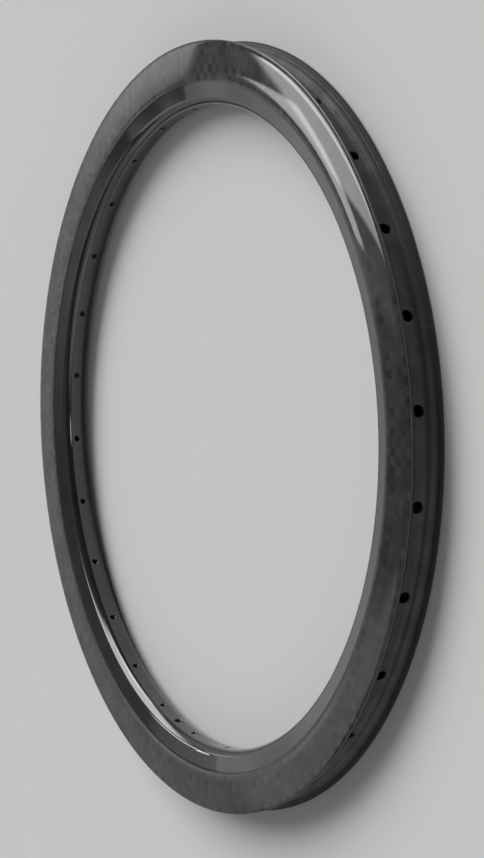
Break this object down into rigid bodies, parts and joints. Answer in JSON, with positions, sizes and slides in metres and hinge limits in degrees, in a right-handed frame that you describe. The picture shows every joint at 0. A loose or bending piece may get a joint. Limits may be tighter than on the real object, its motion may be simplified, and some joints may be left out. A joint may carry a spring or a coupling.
{
  "type": "bicycle rim",
  "caption": "Deep hollow bicycle rim with flat side walls, a rounded nose, a sunk tyre bed between two lips, and drilled spoke and valve holes.",
  "frame": {"origin": "wheel centre on the rim's middle plane", "axes": "+Z along the wheel's axis and up, with the rim lying on its side; -Y points at the valve hole"},
  "size_m": [0.6319, 0.632, 0.029],
  "materials": {
    "carbon": "gloss"
  },
  "bodies": {
    "root": {"rim": "carbon"}
  },
  "joints": []
}
